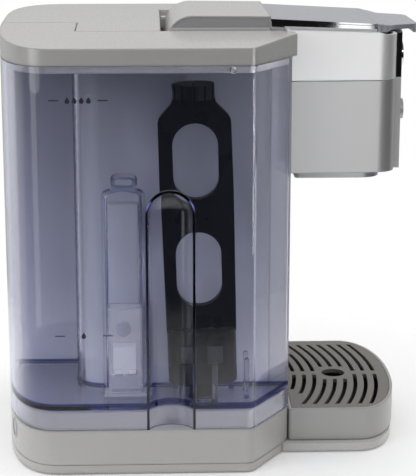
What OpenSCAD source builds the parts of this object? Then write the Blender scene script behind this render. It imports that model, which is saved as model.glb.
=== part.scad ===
// A single-serve pod coffee machine. A clear water tank wraps the left side and the rear, a
// silver brew head with a lifting lid hangs over a drip tray, and the pump and the boiler sit
// inside the body. Millimetres, +Z up, front towards -Y, origin on the table under the centre.

/* [Machine] */
// Width across the two sides
machine_w = 250; // [249:0.5:252]
// Depth from the rear face to the tip of the lid's handle
machine_d = 305; // [305:0.5:307]
// Height of the top of the head lid
machine_h = 317.4; // [317.2:0.1:318.4]
// Height of the base, where the tank stands
base_h = 32.6; // [32.4:0.1:32.8]
// Depth of each swept rear corner
rear_corner_d = 42; // [40:1:44]
// Width of each swept rear corner
rear_corner_w = 105; // [98:1:105]
// Wall of the opaque housings
wall = 2.5; // [2.3:0.1:2.6]
// Space between neighbouring pieces that part
gap = 0.5; // [0.4:0.05:0.5]

/* [Water tank] */
// Height of the tank's rim
tank_rim_z = 291; // [290.6:0.1:291.2]
// Wall of the clear tank
tank_wall = 2.6; // [2.4:0.1:2.8]
// Height of the inside of the tank's floor
tank_floor_z = 50.8; // [50.6:0.1:51]
// Width of the finger flute in the tank's side
flute_w = 31; // [29:1:32]
// Depth of the finger flute
flute_d = 11; // [10:0.5:11]
// Height of the top of the finger flute
flute_top_z = 204; // [195:1:210]

/* [Brew head] */
// Width of the head at its rear
head_w = 136; // [135:0.5:136]
// Height of the underside of the head
head_bottom_z = 205.7; // [205.2:0.1:206]
// Height of the seam round the head
head_seam_z = 272.2; // [271.6:0.1:272.6]
// Width of the head lid
lid_w = 112; // [111:0.5:112]
// Diameter of the brew button
brew_button_d = 18; // [16:0.2:18.2]

/* [Pod] */
// Diameter of the pod's body that the holder takes
pod_body_d = 46; // [45:0.5:46.5]
// Diameter of the pod's rim
pod_rim_d = 51; // [50:0.5:51.5]
// Height of the pod
pod_h = 44; // [43:0.5:44.5]

/* [Drip tray] */
// Width of the drip tray
tray_w = 165.4; // [164:0.2:166]
// Height of the tray's rim
tray_top_z = 32; // [31.8:0.1:32.2]
// Width of each slot in the drip plate
slot_w = 3; // [2.4:0.2:3.4]
// Diameter of the drain hole
drain_d = 18; // [16:0.5:20]

/* [Hidden] */
$fn = 64;

// Colours
warm_grey = [0.72, 0.71, 0.69];
silver = [0.78, 0.78, 0.79];
dark_silver = [0.55, 0.55, 0.57];
chrome = [0.88, 0.88, 0.9];
clear_blue = [0.45, 0.48, 0.62, 0.45];
black_plastic = [0.07, 0.07, 0.08];
rubber_black = [0.12, 0.12, 0.12];
steel = [0.7, 0.71, 0.73];
board_green = [0.1, 0.35, 0.2];
hose_white = [0.85, 0.85, 0.82];

eps = 0.01;
half_w = machine_w / 2;
rear_y = machine_d / 2;
tip_y = -machine_d / 2;
rear_steps = 14;
rear_power = 2.4;

// The front corner where the side face turns into the diagonal face, and the diagonal's slope
corner_y = -25.5;
diagonal_slope = -0.633;
edge_r = 8;
// Plan of the tank: its inner wall, the front of its rear section, and that section's end
tank_inner_x = -77;
tank_rear_face_y = 98;
tank_end_x = -19;
tank_inner_r = 18;
tank_floor_t = 3;
tank_bottom_z = base_h + gap;
body_gap = 3;
// Plan of the covers round the head
cover_inner_x = 60.6;
notch_rear_y = 37.5;
lid_gap = 0.6;
cover_t = 3;
cover_bottom_z = tank_rim_z + 0.3;
shell_top_z = tank_rim_z - 0.5;
// The top surface is one shallow cylinder that runs front to rear
crown_x = 46.4;
crown_z = 310;
crown_r = 2083;

// Base
base_lift = 1;
base_roof_t = 3;
base_front_x = 80;
groove_z = 7;
pedestal_top_z = 46;
plate_z = 3;
plate_t = 2.6;
screw_places = [[-112, 0], [112, 0], [-70, 128], [70, 128], [-60, -40], [60, -40]];
foot_places = [[-100, -5], [100, -5], [-80, 118], [80, 118]];
shelf_foot_places = [[-52, -112], [52, -112]];
foot_r = 9;
foot_h = 2.6;
cap_x = -86;
cap_z = 22.4;
cap_r = 8;
gland_x = 30;
gland_z = 16;
gland_r = 8;
cord_r = 3.7;

// Tank valve, under the water filter
valve_x = -100;
valve_y = 8.7;
boss_r = 9;
inlet_r = 5;
poppet_z = 47.4;

// Float channel and float
channel_y0 = 48.2;
channel_y1 = 81.8;
channel_mid_y = 65;
channel_draft_z = 200;
channel_step_z = 198;
channel_top_z = 210.2;
channel_neck_y0 = 54;
channel_neck_y1 = 74.4;
channel_d = 11.6;
cage_y0 = 52.1;
cage_y1 = 76.5;
cage_z0 = 56.9;
cage_z1 = 116.6;
cage_x0 = -102.2;
cage_x1 = -88.9;
cage_wall = 1.3;
float_rest_z = 66.8;
float_h = 20.6;

// Water filter, which leans a little to the rear
filter_lean = 1.8;
filter_foot_z = tank_floor_z + 0.4;
cup_z0 = 11;
cup_z1 = 48;
handle_top_z = 214.5;
dial_h = 10;
dial_r = 14.7;

// Head
head_cx = head_w / 2;
head_front_cx = 65.7;
head_front_y = -131.2;
head_rear_y = -42;
head_side_front_y = -117;
head_corner_r = 14.5;
head_neck_y = -51.6;
tub_x = 60;
tub_rear_y = 40;
pan_z = 200.7;
spout_y = -96.4;
front_plate_x = 50;
front_plate_y = -131.5;
front_edge_y = -135.8;
front_sagitta = 3.7;
front_top_z = 304.6;
brew_button_z = 283.2;
size_button_z = 246;
size_button_pitch = 28;
size_button_r = 7.5;
power_button_z = 222;
power_button_r = 6;
button_clear = 0.25;
button_back_y = -134.6;

// Lid
hinge_y = 14.7;
hinge_r = 19;
hinge_z = machine_h - hinge_r;
pin_r = 2.5;
lid_x = lid_w / 2;
lid_step_y = -40.8;
lid_front_y = -116.9;
lid_bottom_rear_z = 306;
deck_z = 286;
deck_t = 3;
lid_tube_z = 307.4;
lid_tube_r = 1.4;

// Drip tray
tray_rear_y = -54.8;
tray_front_y = -140.5;
tray_round_y = -108;
tray_power = 2.15;
tray_steps = 40;
tray_bottom_z = 8;
tray_rim_t = 2.2;
shelf_x = 87.5;
shelf_round_y = -104;
shelf_front_y = -138.5;
shelf_power = 2.5;
shelf_top_z = tray_bottom_z - 0.4;
plate_step_z = 28.6;
slot_centre_y = 98.6;
slot_first_r = 227;
slot_pitch = 7.9;
slot_reach = [71.7, 71.7, 71.7, 71.7, 71.7, 71.7, 71.7, 48, 38];
drain_y = spout_y;

// ---------- outlines

function unit(v) = v / norm(v);
function flat(p) = [p[0], p[1]];
function turn(a) = a > 180 ? a - 360 : a < -180 ? a + 360 : a;
// Points of one corner, p, between its neighbours a and b, rounded to the radius r
function corner_arc(a, p, b, r, n) = r <= 0 ? [flat(p)] : let (
    ua = unit(flat(a) - flat(p)), ub = unit(flat(b) - flat(p)), half = acos(ua * ub) / 2,
    c = flat(p) + unit(ua + ub) * r / sin(half),
    s = flat(p) + ua * r / tan(half) - c, e = flat(p) + ub * r / tan(half) - c,
    a0 = atan2(s.y, s.x), da = turn(atan2(e.y, e.x) - a0))
    [for (k = [0:n]) c + r * [cos(a0 + da * k / n), sin(a0 + da * k / n)]];
// A closed outline whose corners [x, y, r] are rounded with arcs
function rounded(corners, n = 6) = [for (i = [0:len(corners) - 1])
    let (m = len(corners), a = corners[(i + m - 1) % m], b = corners[(i + 1) % m])
    each corner_arc(a, corners[i], b, corners[i][2], n)];
// A swept rear corner at share t of its quarter turn, 0 at the side face and 1 at the rear face
function rear_corner(side, t) = [
    side * (half_w - rear_corner_w * (1 - pow(cos(90 * t), 2 / rear_power))),
    rear_y - rear_corner_d * (1 - pow(sin(90 * t), 2 / rear_power)), 0];
function left_rear() = [for (k = [0:rear_steps]) rear_corner(-1, 1 - k / rear_steps)];
function right_rear() = [for (k = [0:rear_steps]) rear_corner(1, k / rear_steps)];
function diagonal_y(x) = corner_y + diagonal_slope * (half_w - abs(x));

// Extrudes a profile drawn in (y, z) across the machine, from x0 to x1
module across(x0, x1) translate([x0, 0, 0]) rotate([90, 0, 90]) linear_extrude(x1 - x0) children();
// Extrudes a plan from height z0 to height z1
module rise(z0, z1) translate([0, 0, z0]) linear_extrude(z1 - z0) children();
module block(x0, x1, y0, y1, z0, z1) translate([x0, y0, z0]) cube([x1 - x0, y1 - y0, z1 - z0]);
// A cylinder that runs from y0 to y1
module along_y(x, z, r, y0, y1) translate([x, y0, z]) rotate([-90, 0, 0]) cylinder(r = r, h = y1 - y0);
// A cylinder that runs from x0 to x1
module along_x(y, z, r, x0, x1) translate([x0, y, z]) rotate([0, 90, 0]) cylinder(r = r, h = x1 - x0);
module both_sides() { children(); mirror([1, 0, 0]) children(); }

module footprint() polygon(rounded(concat(
    [[-half_w, corner_y, edge_r], [-base_front_x, diagonal_y(base_front_x), 2],
     [base_front_x, diagonal_y(base_front_x), 2], [half_w, corner_y, edge_r]],
    right_rear(), left_rear())));

module tank_plan() polygon(rounded(concat(
    [[-half_w, corner_y, edge_r], [tank_inner_x, diagonal_y(tank_inner_x), 2],
     [tank_inner_x, tank_rear_face_y, tank_inner_r], [tank_end_x, tank_rear_face_y, 2],
     [tank_end_x, rear_y, 0]],
    left_rear())));

// Outline of a top cover's front end, from the side face round to the notch beside the head
function cover_front(side) = [[side * half_w, corner_y, edge_r], [side * 71.5, diagonal_y(71.5), 2],
    [side * 70, -55.4, 0.5], [side * 69, -51.2, 0.5], [side * cover_inner_x, -50.4, 2]];

module tank_lid_plan() polygon(rounded(concat(cover_front(-1),
    [[-cover_inner_x, tank_rear_face_y, 2], [tank_end_x + 0.5, tank_rear_face_y, 2],
     [tank_end_x + 0.5, rear_y, 0]], left_rear())));

module cover_plan() difference() {
    polygon(rounded(concat(
        [for (k = [4:-1:0]) cover_front(1)[k]], right_rear(), left_rear(), cover_front(-1))));
    translate([-cover_inner_x - 1, -200]) square([2 * cover_inner_x + 1, 200 + notch_rear_y]);
    offset(delta = lid_gap) tank_lid_plan();
}

module body_plan() difference() {
    footprint();
    offset(delta = body_gap) tank_plan();
}

module head_plan() polygon(rounded([
    [-head_cx, head_neck_y, 0], [-head_front_cx, head_front_y, head_corner_r],
    [head_front_cx, head_front_y, head_corner_r], [head_cx, head_neck_y, 0],
    [head_cx, head_rear_y, 0], [-head_cx, head_rear_y, 0]], 10));

module head_upper_plan() polygon(rounded([
    [-head_cx, head_neck_y, 0], [-head_front_cx, head_front_y, head_corner_r],
    [head_front_cx, head_front_y, head_corner_r], [head_cx, head_neck_y, 0],
    [tub_x, head_neck_y, 0], [tub_x, tub_rear_y, 6], [-tub_x, tub_rear_y, 6],
    [-tub_x, head_neck_y, 0]], 10));

// A plan with straight sides from back_y and a front rounded as a superellipse about (0, round_y)
module round_front(x, back_y, round_y, front_y, power, r) polygon(rounded(concat(
    [[-x, back_y, r], [-x, round_y, 0]],
    [for (k = [1:tray_steps - 1]) let (t = 180 * k / tray_steps, c = cos(t), s = sin(t))
        [-sign(c) * x * pow(abs(c), 2 / power), round_y - (round_y - front_y) * pow(s, 2 / power), 0]],
    [[x, round_y, 0], [x, back_y, r]])));

module tray_plan() round_front(tray_w / 2, tray_rear_y, tray_round_y, tray_front_y, tray_power, 2);

// The shelf meets the base's front wall and the diagonal walls beside it
module shelf_plan() difference() {
    round_front(shelf_x, corner_y, shelf_round_y, shelf_front_y, shelf_power, 0);
    offset(delta = 0.05) footprint();
}

// The front plate's plan: a flat back and a front face that bulges forward
module front_plate_plan(x, y0) polygon(concat([[x, y0], [-x, y0]],
    [for (k = [-8:8]) let (u = k / 8) [x * u, front_edge_y - front_sagitta * (1 - u * u)]]));

function crown_at(x) = crown_z - (x - crown_x) * (x - crown_x) / (2 * crown_r);
// Everything under the shared crowned top, lowered by drop
module under_crown(drop = 0) translate([0, 200, 0]) rotate([90, 0, 0]) linear_extrude(400)
    polygon(concat([[150, 200], [-150, 200]], [for (x = [-150:12.5:150]) [x, crown_at(x) - drop]]));

// ---------- base

module screw_cap_frame() translate([cap_x, 146.1, cap_z]) rotate([0, 0, 14.8]) children();

module base_housing() color(warm_grey) {
    difference() {
        rise(base_lift, base_h) footprint();
        rise(0, base_h - base_roof_t) offset(delta = -wall) footprint();
        rise(groove_z, groove_z + 0.6) difference() {
            offset(delta = 1) footprint();
            offset(delta = -0.4) footprint();
        }
        block(-50, 110, -20, 80, base_h - 5, base_h + 5);
        translate([valve_x, valve_y, 20]) cylinder(r = inlet_r + 0.1, h = 20);
        screw_cap_frame() along_y(0, 0, cap_r + 0.05, -10, 10);
        along_y(gland_x, gland_z, gland_r + 0.05, rear_y - 10, rear_y + 5);
        block(-61, 61, -60, -48, 0, 8.7);
    }
    // Pedestal that locates the tank's skirt
    difference() {
        rise(base_h - eps, pedestal_top_z) offset(delta = -tank_wall - 1) tank_plan();
        translate([-half_w - flute_centre_out(), 32.1, 0]) cylinder(r = flute_r() + tank_wall + 1, h = 60);
        block(tank_inner_x - channel_d - 1, tank_inner_x + 1, channel_y0 - 1, channel_y1 + 1, 30, 60);
        translate([valve_x, valve_y, 30]) cylinder(r = boss_r + 0.8, h = 20);
    }
    for (p = screw_places) translate([p.x, p.y, 0]) difference() {
        translate([0, 0, plate_z + plate_t + 0.1]) cylinder(r = 4.5, h = base_h - base_roof_t - 5.7 + eps);
        cylinder(r = 1.6, h = 22);
    }
}

module bottom_plate() color(rubber_black) difference() {
    rise(plate_z, plate_z + plate_t) offset(delta = -wall - gap) footprint();
    for (p = screw_places) translate([p.x, p.y, 0]) cylinder(r = 1.8, h = 10);
    for (p = foot_places) translate([p.x, p.y, 0]) cylinder(r = 3.6, h = 10);
    for (k = [0:5]) block(-20 + 9 * k, -16 + 9 * k, 20, 70, 0, 10);
}

module rubber_feet() color(rubber_black) {
    for (p = foot_places) translate([p.x, p.y, 0]) {
        cylinder(r = foot_r, h = plate_z - 0.05);
        cylinder(r = 3.5, h = 8);
        translate([0, 0, plate_z + plate_t + 0.05]) cylinder(r = 5, h = 2);
    }
    for (p = shelf_foot_places) translate([p.x, p.y, 0]) {
        cylinder(r = foot_r, h = foot_h - 0.05);
        cylinder(r = 3.5, h = 6);
    }
}

module base_screws() color(steel) for (p = screw_places) translate([p.x, p.y, 0]) difference() {
    union() {
        translate([0, 0, 1]) cylinder(r = 3.4, h = plate_z - 1.05);
        translate([0, 0, 2]) cylinder(r = 1.5, h = 16);
    }
    translate([-2.4, -0.4, 0]) cube([4.8, 0.8, 1.8]);
    translate([-0.4, -2.4, 0]) cube([0.8, 4.8, 1.8]);
}

module tank_inlet() color(black_plastic) translate([valve_x, valve_y, 0]) {
    difference() {
        union() {
            translate([0, 0, 22]) cylinder(r = inlet_r, h = 15);
            translate([0, 0, 22]) cylinder(r = 8, h = base_h - base_roof_t - 22.1);
        }
        translate([0, 0, 21]) cylinder(r = 3.4, h = 20);
    }
    translate([-3.6, -0.6, 30]) cube([7.2, 1.2, 4]);
    translate([0, 0, 30]) cylinder(r = 1.2, h = 7);
}

module screw_cap() color(dark_silver) screw_cap_frame() difference() {
    along_y(0, 0, cap_r - 0.05, -6, 0.2);
    along_y(0, 0, cap_r - 1.4, -0.8, 1);
    along_y(0, 0, cap_r - 3, -7, -2.4);
}

module cord_gland() color(rubber_black) difference() {
    union() {
        along_y(gland_x, gland_z, gland_r, rear_y - 3, rear_y - 0.1);
        along_y(gland_x, gland_z, 6.5, rear_y - 12, rear_y - 2);
        along_y(gland_x, gland_z, 9.5, rear_y - 12, rear_y - 3.2);
    }
    along_y(gland_x, gland_z, cord_r, rear_y - 20, rear_y + 5);
}

module tray_shelf() color(warm_grey) difference() {
    union() {
        rise(base_lift, shelf_top_z) shelf_plan();
        // Tongue that hooks into the opening in the base's front wall
        block(-60, 60, -54.4, -52, base_lift + 0.5, 8.4);
        block(-60, 60, -54.4, -46, 5.8, 8.4);
    }
    // Hollow underside, with ribs and round bosses for the feet
    rise(0, shelf_top_z - 2) difference() {
        offset(delta = -2.6) shelf_plan();
        for (p = shelf_foot_places) translate(p) circle(r = foot_r + 2.5);
        for (s = [-30, 0, 30]) translate([s - 1, -140]) square([2, 90]);
    }
    for (p = shelf_foot_places) translate([p.x, p.y, 0]) {
        cylinder(r = foot_r + 0.2, h = foot_h);
        cylinder(r = 3.6, h = 6.2);
    }
}

// ---------- body

function shell_split_x() = tank_end_x + body_gap + wall;

module body_wall() difference() {
    body_plan();
    offset(delta = -wall) body_plan();
}

module side_shell() color(warm_grey) rise(base_h + 0.1, shell_top_z) difference() {
    body_wall();
    translate([-200, -200]) square([200 + shell_split_x() + 0.05, 400]);
    translate([-100, -100]) square([174, 100 - 41]);
}

module inner_wall() color(warm_grey) {
    difference() {
        union() {
            rise(base_h + 0.1, shell_top_z) intersection() {
                body_wall();
                translate([-200, -36.8]) square([200 + shell_split_x(), 300]);
            }
            // Hollow rib that stands in the tank's float channel
            block(-84, -73.5, channel_y0 + 6.5, channel_y1 - 6, 62, 188);
        }
        block(-82, -60, channel_y0 + 8.5, channel_y1 - 8, 64, 186);
    }
    // Ledge under the tank lid's inner edge
    rise(shell_top_z - 2, shell_top_z) intersection() {
        offset(delta = -wall + eps) body_plan();
        translate([-80, -36.8]) square([18.5, 126]);
    }
}

module front_column() color(warm_grey) {
    rise(base_h + 0.1, head_bottom_z - 0.5) difference() {
        polygon(rounded([[-73.8, -53.6, 5], [73.8, -53.6, 5], [73.8, -41.2, 0], [73.8, -37, 0],
            [-73.8, -37, 0]]));
        translate([0, -196.5]) circle(r = 156, $fn = 240);
        translate([-69, -40.2]) square([138, 20]);
    }
    both_sides() rise(head_bottom_z - 0.6, shell_top_z) polygon([[68.8, -50.9], [73.8, -50.9],
        [73.8, -37], [68.8, -37]]);
}

module top_cover() color(warm_grey) difference() {
    intersection() {
        rise(cover_bottom_z, crown_z + 5) cover_plan();
        under_crown();
    }
    intersection() {
        rise(cover_bottom_z - 1, crown_z + 5) offset(delta = -cover_t) cover_plan();
        under_crown(cover_t);
    }
    along_x(hinge_y, hinge_z, 4, 55, 70);
}

// ---------- brew head

module head_lower_housing() color(silver) difference() {
    rise(head_bottom_z, head_seam_z - 0.15) head_plan();
    rise(head_bottom_z + wall, head_seam_z + 5) offset(delta = -wall) head_plan();
    block(-head_cx + wall, head_cx - wall, head_rear_y - 5, head_rear_y + 5, head_bottom_z + wall, 300);
    translate([0, spout_y, head_bottom_z - 5]) cylinder(r = 14, h = 20);
}

// Height line of the head's rim, drawn in (y, z), and everything above it
function rim_line() = [[60, 305.4], [head_neck_y, 305.4], [head_neck_y, 308.4],
    [head_side_front_y, 306.3], [-123, 304.5], [-140, 304.1]];

module head_upper_housing() color(silver) difference() {
    rise(head_seam_z + 0.15, 312) head_upper_plan();
    rise(head_seam_z - 5, 300.4) offset(delta = -wall) head_upper_plan();
    // Space above the ledge that the lid rests on
    intersection() {
        rise(298, 315) offset(delta = -wall) head_upper_plan();
        across(-80, 80) polygon([[60, 302.8], [-60, 302.8], [-135, 301.2], [-135, 320], [60, 320]]);
    }
    block(-54.2, 54.2, -117, 37.5, 290, 315);
    block(-10, 10, -121.5, -116, 290, 315);
    block(-57.5, 57.5, -12, 37.5, 270, 315);
    across(-80, 80) polygon(concat(rim_line(), [[-140, 320], [60, 320]]));
    block(-80, 80, notch_rear_y - 0.6, 60, 290, 320);
    both_sides() along_x(hinge_y, hinge_z, pin_r + 0.02, 50, 70);
}

module head_bottom_pan() color(dark_silver) difference() {
    rise(pan_z, head_bottom_z - 0.05) polygon(rounded([[-60, -59, 3], [-60, -121, 14],
        [60, -121, 14], [60, -59, 3]], 8));
    rise(pan_z + 2, head_bottom_z + 1) polygon(rounded([[-56, -63, 3], [-56, -117, 10],
        [56, -117, 10], [56, -63, 3]], 8));
    translate([0, spout_y, pan_z - 1]) cylinder(r = 13, h = 5);
}

module front_plate_lower() color(silver) difference() {
    rise(head_bottom_z + 0.2, head_seam_z - 0.3) front_plate_plan(front_plate_x, front_plate_y);
    for (k = [-1:1]) along_y(k * size_button_pitch, size_button_z, size_button_r + button_clear, -150, -120);
    along_y(0, power_button_z, power_button_r + button_clear, -150, -120);
    for (k = [-1:1]) along_y(k * size_button_pitch, size_button_z + 13, 1.6, -150, -120);
}

module front_plate_upper() color(chrome) difference() {
    rise(head_seam_z + 0.1, front_top_z) front_plate_plan(front_plate_x, front_plate_y);
    along_y(0, brew_button_z, brew_button_d / 2 + 1.3, -150, -120);
}

module brew_button_ring() color(chrome) difference() {
    along_y(0, brew_button_z, brew_button_d / 2 + 1.25, -141.6, front_plate_y - 0.1);
    along_y(0, brew_button_z, brew_button_d / 2 + button_clear, -150, -120);
}

module indicator_lenses() color([0.4, 0.6, 0.9]) for (k = [-1:1])
    along_y(k * size_button_pitch, size_button_z + 13, 1.5, k == 0 ? -139.6 : -138.4, front_plate_y - 0.1);

module round_button(x, z, r, face_y) {
    along_y(x, z, r, face_y, button_back_y);
    along_y(x, z, r - 1.5, button_back_y - 1, button_back_y + 0.6);
}

module brew_button() color(chrome) difference() {
    round_button(0, brew_button_z, brew_button_d / 2, -143.6);
    along_y(0, brew_button_z, brew_button_d / 2 - 3, -150, -143);
}
module size_button_small() color(dark_silver)
    round_button(-size_button_pitch, size_button_z, size_button_r, -140.4);
module size_button_medium() color(dark_silver) round_button(0, size_button_z, size_button_r, -141.4);
module size_button_large() color(dark_silver)
    round_button(size_button_pitch, size_button_z, size_button_r, -140.4);
module power_button() color(black_plastic) round_button(0, power_button_z, power_button_r, -141);

module button_board() color(board_green) {
    block(-46, 46, -126.4, -124.8, 214, deck_z - 0.5);
    for (k = [-1:1]) along_y(k * size_button_pitch, size_button_z, 2.5, -128.5, -126.4 + eps);
    along_y(0, power_button_z, 2.5, -128.5, -126.4 + eps);
    along_y(0, brew_button_z, 2.5, -128.5, -126.4 + eps);
}

module head_deck() color(black_plastic) {
    difference() {
        rise(deck_z, deck_z + deck_t) difference() {
            offset(delta = -wall - 0.2) head_upper_plan();
            translate([-100, -4.2]) square([200, 100]);
        }
        translate([0, spout_y, deck_z - 5]) cylinder(r = 27.7, h = 20);
        block(-10, 10, -124.2, -114, deck_z - 5, deck_z + 10);
    }
    // Trough under the lid's hinge
    across(-57.2, 57.2) difference() {
        translate([hinge_y, hinge_z]) circle(r = 22);
        translate([hinge_y, hinge_z]) circle(r = 20.4);
        translate([-100, hinge_z - 2]) square([200, 60]);
    }
}

module lid_hinge_pins() color(steel) both_sides() along_x(hinge_y, hinge_z, pin_r, 50.8, tub_x - 0.1);

pod_y = spout_y;
pod_seat_z = 289.6;
pod_floor_z = pod_seat_z - pod_h - 0.4;
pod_r = pod_body_d / 2 + 1;

module pod_holder() color(black_plastic) translate([0, pod_y, 0]) difference() {
    union() {
        translate([0, 0, pod_floor_z - 2.5]) cylinder(r = pod_r + 2.2, h = 43);
        translate([0, 0, deck_z + deck_t + 0.05]) cylinder(r = 30, h = 2.8);
        translate([0, 0, deck_z - 3]) cylinder(r = 27.5, h = 6.2);
    }
    translate([0, 0, pod_floor_z]) cylinder(r = pod_r, h = 80);
    translate([0, 0, pod_seat_z - 0.2]) cylinder(r = pod_rim_d / 2 + 0.8, h = 10);
    translate([0, 0, pod_floor_z - 10]) cylinder(r = 6, h = 20);
    translate([14, 0, pod_floor_z - 10]) cylinder(r = 2.02, h = 20);
}

module lower_needle() color(steel) translate([14, pod_y, 0]) difference() {
    union() {
        translate([0, 0, pod_floor_z - 4]) cylinder(r = 2, h = 9);
        translate([0, 0, pod_floor_z + 5 - eps]) cylinder(r1 = 2, r2 = 0.4, h = 5);
    }
    translate([0, 0, pod_floor_z - 5]) cylinder(r = 1, h = 11);
}

module outlet_spout() color(black_plastic) translate([0, spout_y, 0]) rotate_extrude()
    polygon([[4, 196.5], [6.5, 196.5], [6.5, 214], [22, 232], [22, pod_floor_z - 2.6],
        [19.5, pod_floor_z - 2.6], [19.5, 233.5], [4, 215.5]]);

// ---------- inside the body

module water_pump() color([0.75, 0.72, 0.3]) {
    difference() {
        block(72, 108, -8, 28, 52, 104);
        block(70, 110, -1, 21, 60, 96);
    }
    translate([90, 10, 46]) cylinder(r = 10, h = 66);
    translate([90, 10, 40]) cylinder(r = 4, h = 80);
    block(80, 100, 4, 16, 33, 41);
}

module boiler() color(steel) difference() {
    union() {
        translate([22, 40, 140]) cylinder(r = 44, h = 112);
        translate([22, 40, 252 - eps]) cylinder(r1 = 44, r2 = 36, h = 8);
        translate([22, 40, 134]) cylinder(r1 = 38, r2 = 44, h = 6 + eps);
        for (a = [0, 120, 240]) translate([22 + 38 * cos(a), 40 + 38 * sin(a), base_h + 0.3])
            cylinder(r = 3, h = 106);
        translate([50, 40, 256]) cylinder(r = 4, h = 5);
        translate([22, 40, 128]) cylinder(r = 4, h = 8);
    }
    translate([22, 40, 140]) cylinder(r = 42.4, h = 112);
    translate([50, 40, 250]) cylinder(r = 2, h = 20);
    translate([22, 40, 120]) cylinder(r = 2, h = 25);
}

module boiler_thermostat() color(black_plastic) {
    translate([8, 52, 260.05]) cylinder(r = 9, h = 4);
    translate([8, 52, 264]) cylinder(r = 5, h = 4);
    translate([-10, 26, 260.05]) cylinder(r = 3.5, h = 4);
}

// A quarter bend about the y axis through its start, from the x axis round to the z axis. The
// elbow is a little thicker than the hose that runs into both of its ends.
elbow_t = 0.12;
lap = 0.5;
module elbow(r, tube_r) rotate([90, 0, 0]) rotate_extrude(angle = 90) translate([r, 0])
    circle(r = tube_r + elbow_t);

hose_r = 3.2;
hot_r = 2.6;
module cold_hose() color(hose_white) {
    // From the tank inlet through the base to the pump's inlet
    translate([valve_x, valve_y, 16 - lap]) cylinder(r = hose_r, h = 5.9);
    translate([valve_x + 7, valve_y, 16]) rotate([0, 180, 0]) elbow(7, hose_r);
    along_x(valve_y, 9, hose_r, valve_x + 7 - lap, 83 + lap);
    translate([83, valve_y, 16]) rotate([0, 90, 0]) elbow(7, hose_r);
    translate([90, valve_y, 16 - lap]) cylinder(r = hose_r, h = 16.9);
}

module pump_hose() color(hose_white) {
    // From the pump's outlet up and across to the foot of the boiler
    translate([90, 10, 120.1]) cylinder(r = hose_r, h = 1.9 + lap);
    translate([83, 10, 122]) elbow(7, hose_r);
    along_x(10, 129, hose_r, 29 - lap, 83 + lap);
    translate([29, 10, 122]) rotate([0, -90, 0]) elbow(7, hose_r);
    translate([22, 10, 119 - lap]) cylinder(r = hose_r, h = 3 + 2 * lap);
    translate([22, 17, 119]) rotate([0, 0, 90]) rotate([0, 180, 0]) elbow(7, hose_r);
    along_y(22, 112, hose_r, 17 - lap, 33 + lap);
    translate([22, 33, 119]) rotate([0, 0, 90]) rotate([0, 90, 0]) elbow(7, hose_r);
    translate([22, 40, 119 - lap]) cylinder(r = hose_r, h = 8.4 + lap);
}

module hot_hose() color(hose_white) {
    // From the top of the boiler to the hollow hinge fitting beside the head
    translate([50, 40, 261.1]) cylinder(r = hot_r, h = 0.5 + lap);
    translate([57, 40, 261.6]) rotate([0, -90, 0]) elbow(7, hot_r);
    along_x(40, 268.6, hot_r, 57 - lap, 62 + lap);
    translate([62, 33, 268.6]) rotate([-90, 0, 0]) elbow(7, hot_r);
    along_y(69, 268.6, hot_r, 21.7 - lap, 33 + lap);
    translate([69, 21.7, 275.6]) rotate([0, 0, 90]) rotate([0, 180, 0]) elbow(7, hot_r);
    translate([69, hinge_y, 275.6 - lap]) cylinder(r = hot_r, h = 20);
    along_x(hinge_y, hinge_z, 3.6, 60.4, 72);
}

module control_board() color(board_green) {
    block(117.6, 119.2, 10, 90, 70, 200);
    block(108, 117.7, 30, 48, 90, 112);
    block(110, 117.7, 56, 80, 120, 150);
    for (k = [0:3]) along_x(20 + 10 * k, 180, 3.5, 108, 117.7);
}

module float_sensor() color(black_plastic) block(-81.8, -76.5, 60, 70, 84, 112);

// ---------- head lid

function lid_top_z(y) = y > lid_step_y ? machine_h - 0.6 * (hinge_y - y) / (hinge_y - lid_step_y)
    : 315 - 3.9 * (lid_step_y - y) / (lid_step_y - lid_front_y);
function lid_bottom_z(y) = lid_bottom_rear_z - 2 * (-30 - y) / 100;

// Outer side profile of the rear cover, drawn in (y, z), with the hinge's round end
module rear_cover_profile() polygon(concat(
    [[lid_step_y, lid_bottom_rear_z], [lid_step_y, lid_top_z(lid_step_y + eps)]],
    [for (k = [0:42]) let (a = 90 - 270 * k / 42) [hinge_y + hinge_r * cos(a), hinge_z + hinge_r * sin(a)]],
    [[hinge_y - hinge_r, lid_bottom_rear_z]]));

// The panel's profile follows the round end, set in by the margin
module side_panel_profile(margin) intersection() {
    translate([hinge_y, hinge_z]) union() {
        circle(r = hinge_r - margin);
        translate([-60, -20]) square([60, 20 + hinge_r - margin]);
    }
    polygon([[40, 309], [40, 330], [hinge_y, 330], [hinge_y, machine_h - margin],
        [lid_step_y + margin, machine_h - 0.6 - margin], [lid_step_y + margin, 309]]);
}

// Way for the water tube between the lid's two halves
module lid_tube_notch() block(-2.5, 2.5, lid_step_y - 5, lid_step_y + 5, 300, lid_tube_z + 2.5);

module lid_rear_cover() color(warm_grey) difference() {
    across(-lid_x, lid_x) rear_cover_profile();
    // Hollow between the ears
    across(-50.4, 50.4) difference() {
        offset(delta = -wall) rear_cover_profile();
        translate([lid_step_y - 1, 250]) square([3.5, 70]);
    }
    across(-50.4, 50.4) polygon([[-30, 270], [50, 270], [50, hinge_z - 2], [0, hinge_z - 2],
        [0, lid_bottom_rear_z + 1], [-30, lid_bottom_rear_z + 1]]);
    across(-50.4, 50.4) polygon([[lid_step_y + 2.5, 300], [0, 300], [0, lid_bottom_rear_z + 3],
        [lid_step_y + 2.5, lid_bottom_rear_z + 3]]);
    both_sides() across(lid_x - 1, lid_x + 1) side_panel_profile(1);
    along_x(hinge_y, hinge_z, pin_r + 0.05, -70, 70);
    lid_tube_notch();
}

module lid_side_panels() color(dark_silver) both_sides()
    across(lid_x - 0.95, lid_x - 0.35) side_panel_profile(1.1);

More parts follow.
